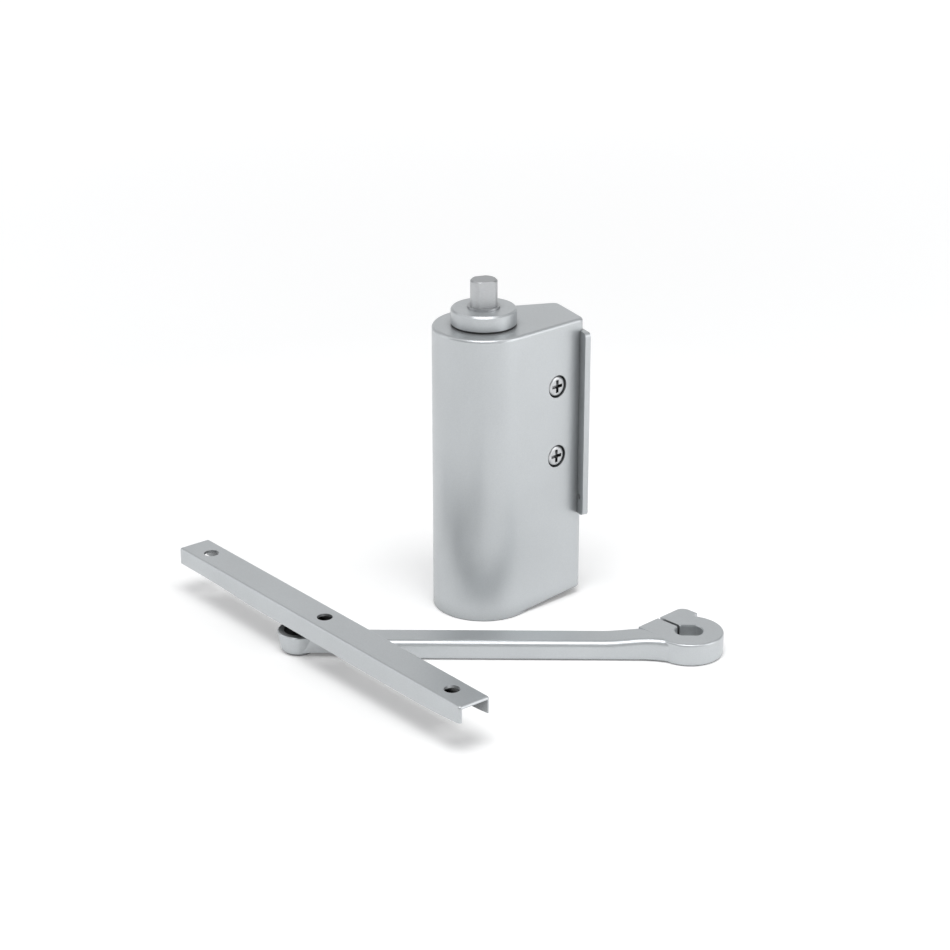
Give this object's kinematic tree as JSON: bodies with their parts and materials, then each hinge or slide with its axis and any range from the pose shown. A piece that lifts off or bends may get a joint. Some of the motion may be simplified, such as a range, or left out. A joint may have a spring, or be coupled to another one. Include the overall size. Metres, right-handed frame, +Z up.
{
  "type": "door closer",
  "caption": "Round-bodied hydraulic door closer with a wall bracket, a clamp-on arm and a lipped guide rail that runs on a swivelling shoe.",
  "frame": {"origin": "centre of the foot's underside, on the spindle's axis", "axes": "+Z up along the spindle, +X along the wing towards the mounting plate"},
  "size_m": [0.2006, 0.2116, 0.1616],
  "materials": {
    "silver_casting": "satin silver paint over an aluminium casting",
    "silver_steel": "satin silver paint over steel",
    "silver_arm": "satin silver paint over a forged steel arm",
    "silver_rail": "satin silver paint over folded steel sheet",
    "zinc_screw": "bright zinc plate",
    "seal_rubber": "matt black nitrile rubber",
    "brass_valve": "turned brass",
    "bearing_steel": "ground bearing steel",
    "cage_brass": "stamped brass",
    "spindle_steel": "machined steel",
    "piston_iron": "machined grey iron, oiled",
    "nut_bronze": "machined bronze",
    "spring_steel": "oil-tempered spring wire",
    "black_nylon": "matt black nylon"
  },
  "bodies": {
    "closer": {"casing": "silver_casting", "mounting_bracket": "silver_steel", "body_screws": "zinc_screw", "bottom_cap": "silver_casting", "bottom_cap_seal": "seal_rubber", "valve_seals": "seal_rubber", "bearing_cap": "silver_steel", "cap_seal_ring": "seal_rubber", "spindle_seal": "seal_rubber", "upper_race": "bearing_steel", "guide_rods": "bearing_steel", "closing_spring": "spring_steel"},
    "spindle_body": {"spindle": "spindle_steel", "lower_race": "bearing_steel"},
    "ball_ring": {"bearing_balls": "bearing_steel", "bearing_cage": "cage_brass"},
    "piston_body": {"piston": "piston_iron", "piston_ring": "piston_iron", "drive_nut": "nut_bronze", "check_plug": "spindle_steel"},
    "check_ball_body": {"check_ball": "bearing_steel"},
    "closing_valve_body": {"closing_valve": "brass_valve"},
    "latching_valve_body": {"latching_valve": "brass_valve"},
    "arm_body": {"arm": "silver_arm", "eye_bush": "black_nylon"},
    "clamp_screw_body": {"clamp_screw": "zinc_screw"},
    "shoe_body": {"glide_shoe": "black_nylon", "swivel_pin": "spindle_steel", "pin_clip": "spring_steel"},
    "rail_body": {"guide_rail": "silver_rail"}
  },
  "joints": [
    {"name": "spindle_turn", "type": "hinge", "parent": "closer", "child": "spindle_body", "pos_m": [0, 0, 0.135], "axis": [0, 0, 1], "range_deg": [0, 180], "stiffness_Nm_per_rad": 0.63},
    {"name": "ball_ring_turn", "type": "hinge", "parent": "closer", "child": "ball_ring", "pos_m": [0, 0, 0.1273], "axis": [0, 0, 1], "range_deg": [0, 90]},
    {"name": "piston_slide", "type": "slide", "parent": "closer", "child": "piston_body", "axis": [0, 0, -1], "range_m": [0, 0.03001], "deforming": ["closing_spring"]},
    {"name": "check_ball_lift", "type": "slide", "parent": "piston_body", "child": "check_ball_body", "axis": [0, 0, 1], "range_m": [0, 0.0008]},
    {"name": "closing_valve_turn", "type": "hinge", "parent": "closer", "child": "closing_valve_body", "pos_m": [0, 0.0086, 0.003], "axis": [0, 0, 1], "range_deg": [-180, 180]},
    {"name": "latching_valve_turn", "type": "hinge", "parent": "closer", "child": "latching_valve_body", "pos_m": [0, -0.0086, 0.003], "axis": [0, 0, 1], "range_deg": [-180, 180]},
    {"name": "arm_lift", "type": "slide", "parent": "closer", "child": "arm_body", "axis": [0, 0, 1], "range_m": [0, 0.2]},
    {"name": "clamp_screw_turn", "type": "hinge", "parent": "arm_body", "child": "clamp_screw_body", "pos_m": [0.07025, -0.07473, 0.0054], "axis": [0.9553, 0.2957, 0], "range_deg": [-360, 360]},
    {"name": "shoe_swivel", "type": "hinge", "parent": "arm_body", "child": "shoe_body", "pos_m": [-0.09985, -0.00863, 0.01], "axis": [0, 0, 1], "range_deg": [-60, 45]},
    {"name": "rail_slide", "type": "slide", "parent": "shoe_body", "child": "rail_body", "axis": [-0.2139, 0.9769, 0], "range_m": [-0.07, 0.09]}
  ],
  "couplings": [
    {"joint": "piston_slide", "follows": "spindle_turn", "m_per_rad": 0.0095493},
    {"joint": "ball_ring_turn", "follows": "spindle_turn", "ratio": 0.5}
  ]
}
